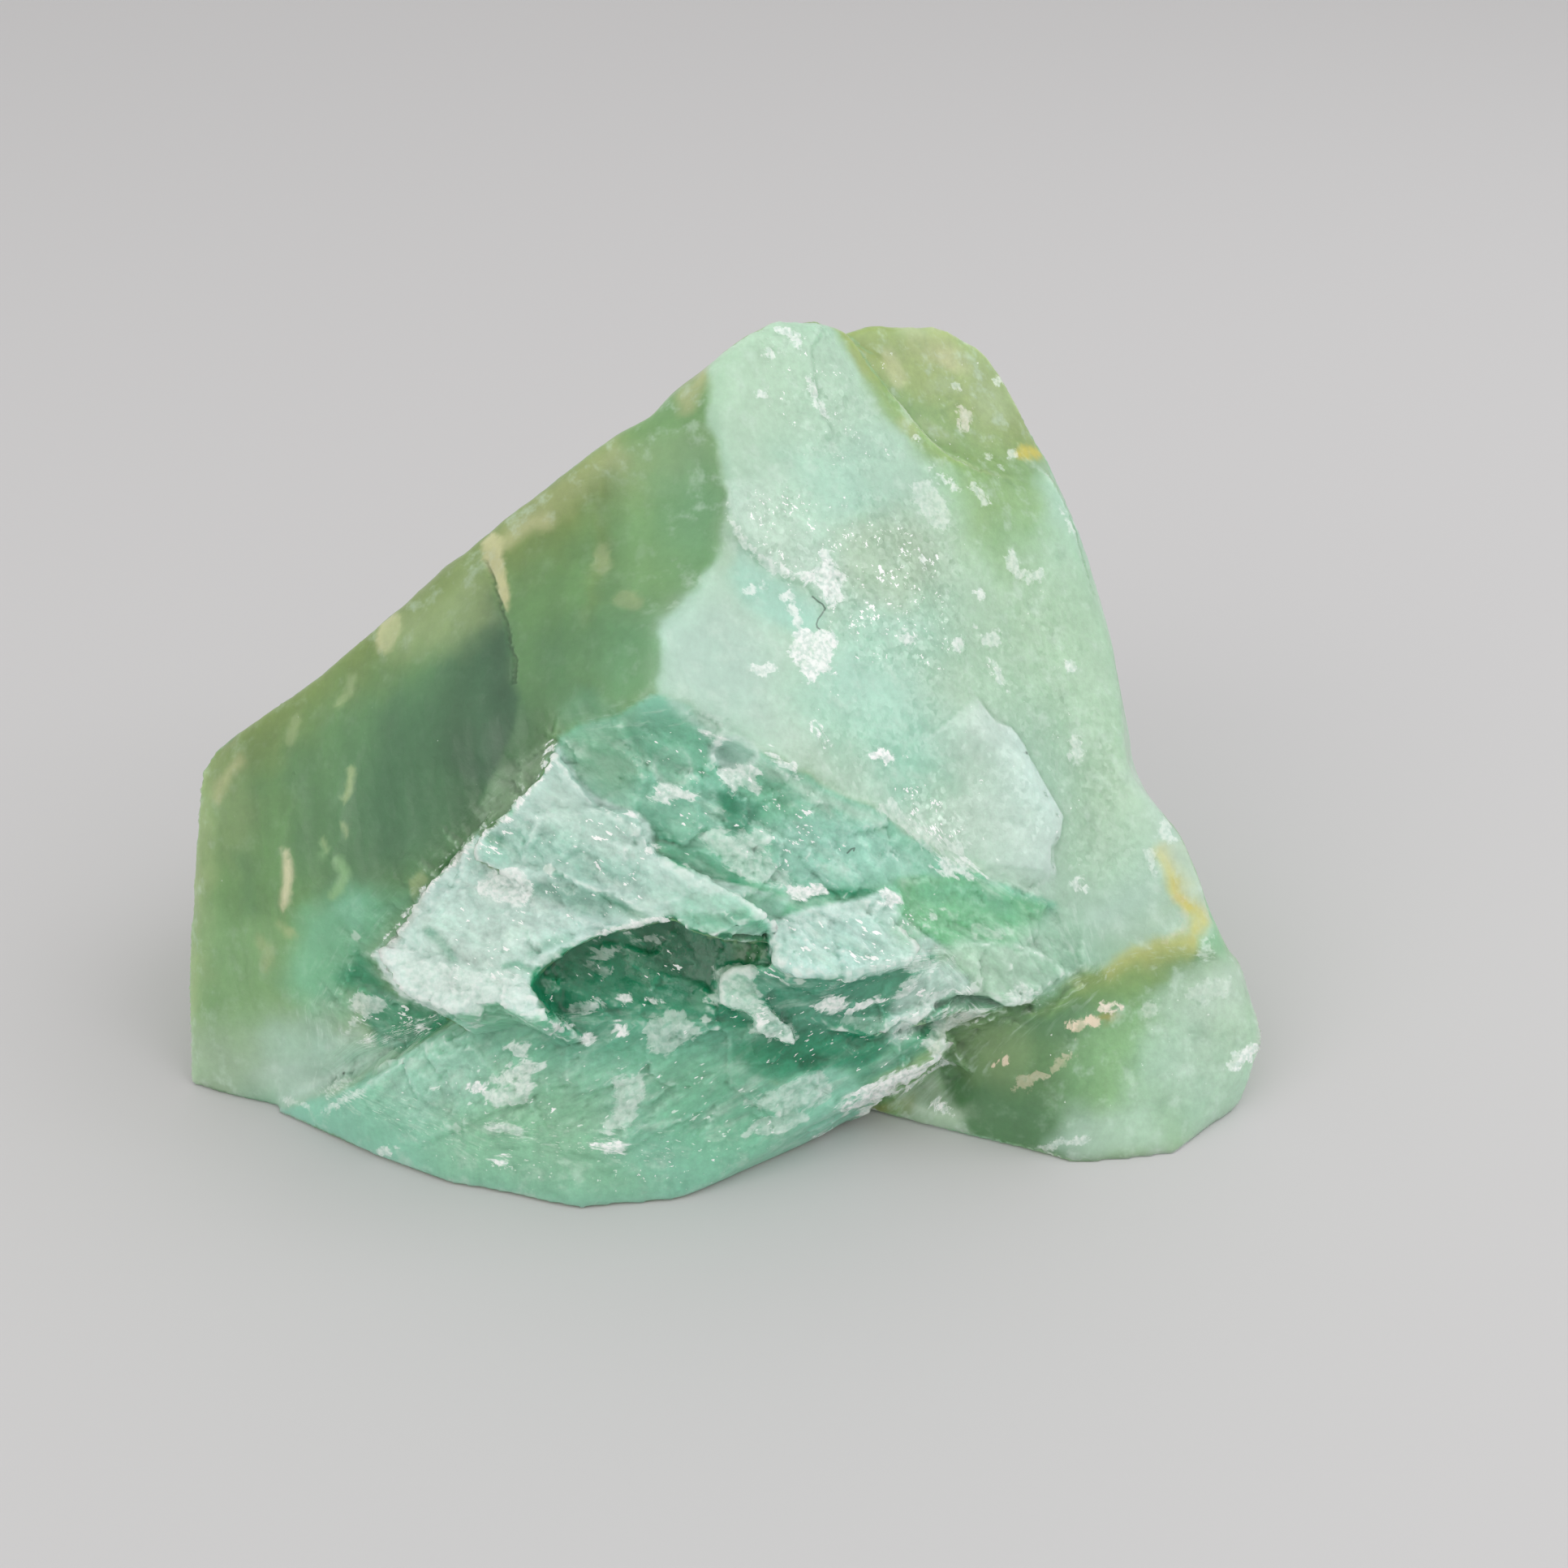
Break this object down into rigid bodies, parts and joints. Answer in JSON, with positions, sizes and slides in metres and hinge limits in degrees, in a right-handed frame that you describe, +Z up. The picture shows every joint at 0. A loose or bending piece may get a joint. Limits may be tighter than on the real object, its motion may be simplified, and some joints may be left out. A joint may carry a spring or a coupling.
{
  "type": "raw aquamarine",
  "caption": "Rough, milky blue-green chunk of beryl with a broad pale face, a darker face, splintered ledges and a healed crack.",
  "frame": {"origin": "middle of the stone's bounding box, at the surface that it rests on", "axes": "+Z up from the surface, +X to the right along the stone's length, and +Y to the back, seen from the splintered side"},
  "size_m": [0.0536, 0.0374, 0.0351],
  "materials": {
    "aquamarine": "broken, slightly waxy, translucent"
  },
  "bodies": {
    "root": {"raw_aquamarine": "aquamarine"}
  },
  "joints": []
}
